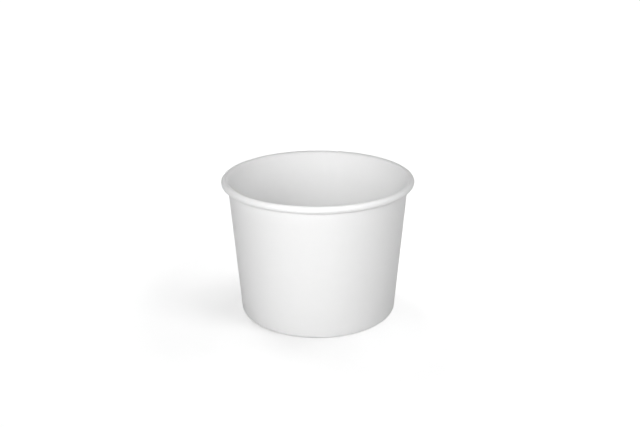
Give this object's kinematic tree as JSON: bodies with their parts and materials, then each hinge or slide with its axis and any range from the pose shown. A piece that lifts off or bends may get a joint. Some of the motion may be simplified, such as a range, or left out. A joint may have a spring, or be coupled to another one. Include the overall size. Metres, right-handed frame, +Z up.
{
  "type": "paper soup cup",
  "caption": "Squat white paper soup cup: tapered board wall with a lapped side seam, rolled rim that takes a press-on lid, and a recessed base disc held in a folded foot.",
  "frame": {"origin": "centre of the foot ring, on the surface the cup stands on", "axes": "+Z up the cup's axis to the open rim; +Y to the back in the picture, with the side seam a little to the right of it; +X to the right in the picture"},
  "size_m": [0.098, 0.098, 0.071],
  "materials": {
    "wall_board": "satin",
    "base_board": "satin"
  },
  "bodies": {
    "root": {"side_wall": "wall_board", "base_disc": "base_board"}
  },
  "joints": []
}
